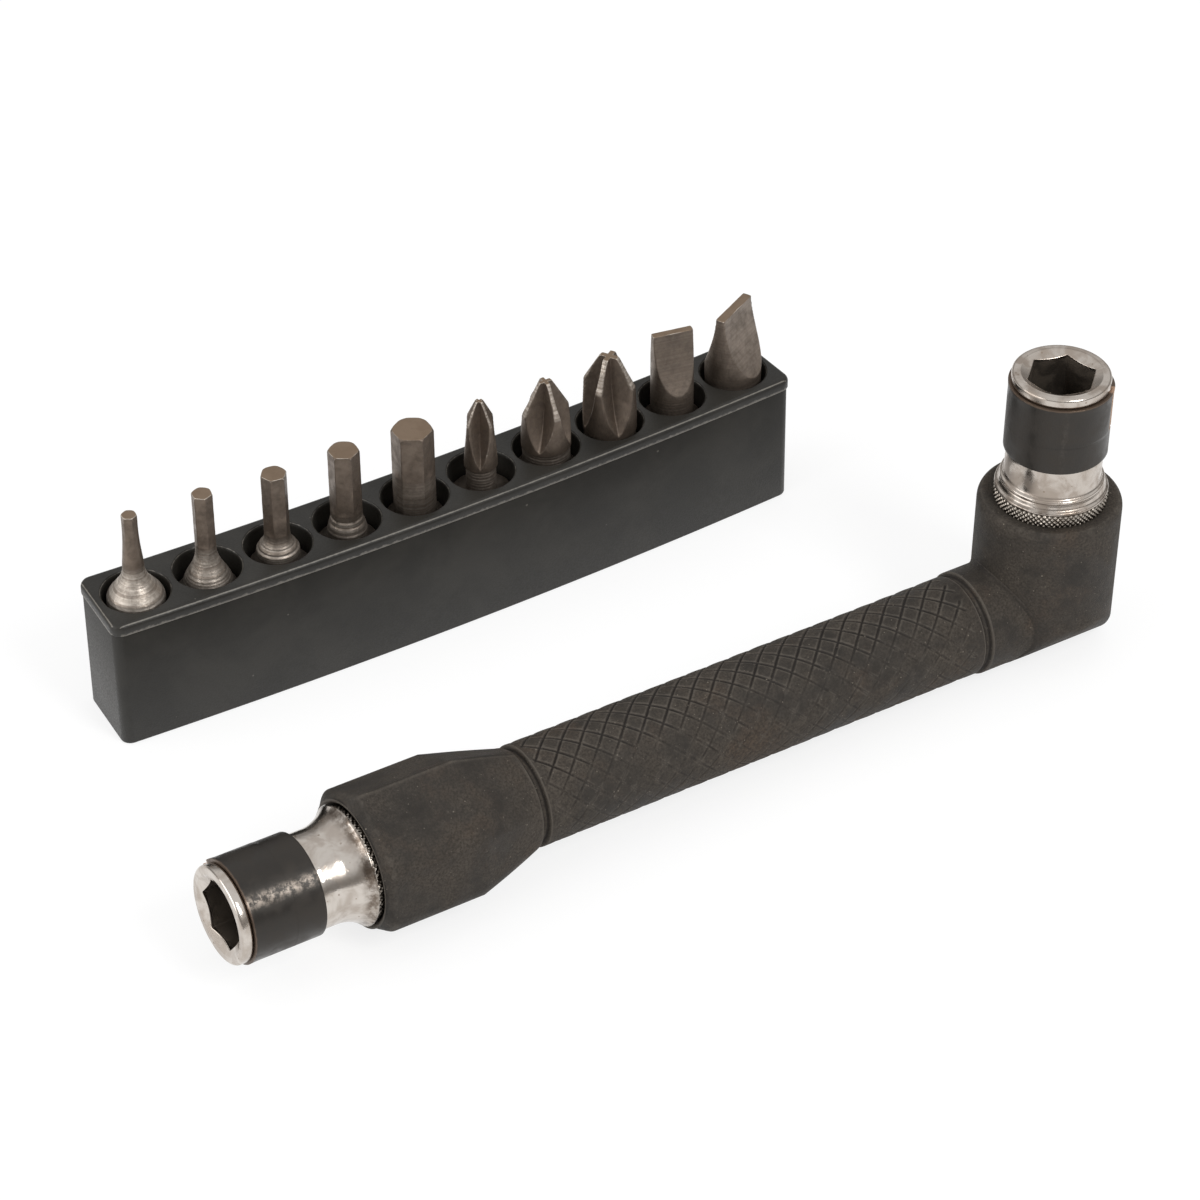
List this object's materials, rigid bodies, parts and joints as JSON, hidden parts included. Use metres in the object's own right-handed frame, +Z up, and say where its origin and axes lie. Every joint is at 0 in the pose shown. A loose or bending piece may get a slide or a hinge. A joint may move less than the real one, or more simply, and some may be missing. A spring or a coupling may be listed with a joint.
{
  "type": "offset screwdriver",
  "caption": "L-shaped offset driver with a hex bit socket at each end and a rubber grip, beside a slim bowed rack of insert bits.",
  "frame": {"origin": "on the table, under the middle of the whole set's box", "axes": "+X along the handle towards the elbow, +Y from the driver towards the rack, +Z up"},
  "size_m": [0.1076, 0.0542, 0.0345],
  "materials": {
    "grip_rubber": "matt soft rubber, dusty",
    "bar_steel": "drawn bar",
    "chrome": "bright plating",
    "black_spring": "blackened satin spring steel",
    "ball_steel": "polished",
    "rack_plastic": "satin moulded plastic",
    "bit_steel": "brown phosphated tool steel"
  },
  "bodies": {
    "driver": {"handle_cover": "grip_rubber", "core_bar": "bar_steel", "end_socket": "chrome", "head_socket": "chrome", "end_clip": "black_spring", "head_clip": "black_spring"},
    "end_detent": {"end_ball": "ball_steel"},
    "head_detent": {"head_ball": "ball_steel"},
    "rack": {"bit_rack": "rack_plastic"},
    "bit_hex_1_body": {"bit_hex_1": "bit_steel"},
    "bit_hex_2_body": {"bit_hex_2": "bit_steel"},
    "bit_hex_3_body": {"bit_hex_3": "bit_steel"},
    "bit_hex_4_body": {"bit_hex_4": "bit_steel"},
    "bit_hex_5_body": {"bit_hex_5": "bit_steel"},
    "bit_cross_1_body": {"bit_cross_1": "bit_steel"},
    "bit_cross_2_body": {"bit_cross_2": "bit_steel"},
    "bit_cross_3_body": {"bit_cross_3": "bit_steel"},
    "bit_slot_1_body": {"bit_slot_1": "bit_steel"},
    "bit_slot_2_body": {"bit_slot_2": "bit_steel"}
  },
  "joints": [
    {"name": "end_detent_press", "type": "slide", "parent": "driver", "child": "end_detent", "axis": [-0.0172, -0.8387, -0.5444], "range_m": [0, 0.00035], "stiffness_N_per_m": 500, "springref_m": -0.0005, "deforming": ["end_clip"]},
    {"name": "head_detent_press", "type": "slide", "parent": "driver", "child": "head_detent", "axis": [-0.6817, 0.7314, 0.0215], "range_m": [0, 0.00035], "stiffness_N_per_m": 500, "springref_m": -0.0005, "deforming": ["head_clip"]},
    {"name": "rack_lift", "type": "slide", "parent": "driver", "child": "rack", "axis": [0, 0, 1], "range_m": [0, 0.02]},
    {"name": "pull_hex_1", "type": "slide", "parent": "rack", "child": "bit_hex_1_body", "axis": [0, 0, 1], "range_m": [0, 0.0151]},
    {"name": "pull_hex_2", "type": "slide", "parent": "rack", "child": "bit_hex_2_body", "axis": [0, 0, 1], "range_m": [0, 0.0151]},
    {"name": "pull_hex_3", "type": "slide", "parent": "rack", "child": "bit_hex_3_body", "axis": [0, 0, 1], "range_m": [0, 0.0151]},
    {"name": "pull_hex_4", "type": "slide", "parent": "rack", "child": "bit_hex_4_body", "axis": [0, 0, 1], "range_m": [0, 0.0151]},
    {"name": "pull_hex_5", "type": "slide", "parent": "rack", "child": "bit_hex_5_body", "axis": [0, 0, 1], "range_m": [0, 0.0151]},
    {"name": "pull_cross_1", "type": "slide", "parent": "rack", "child": "bit_cross_1_body", "axis": [0, 0, 1], "range_m": [0, 0.0151]},
    {"name": "pull_cross_2", "type": "slide", "parent": "rack", "child": "bit_cross_2_body", "axis": [0, 0, 1], "range_m": [0, 0.0151]},
    {"name": "pull_cross_3", "type": "slide", "parent": "rack", "child": "bit_cross_3_body", "axis": [0, 0, 1], "range_m": [0, 0.0151]},
    {"name": "pull_slot_1", "type": "slide", "parent": "rack", "child": "bit_slot_1_body", "axis": [0, 0, 1], "range_m": [0, 0.0151]},
    {"name": "pull_slot_2", "type": "slide", "parent": "rack", "child": "bit_slot_2_body", "axis": [0, 0, 1], "range_m": [0, 0.0151]}
  ]
}
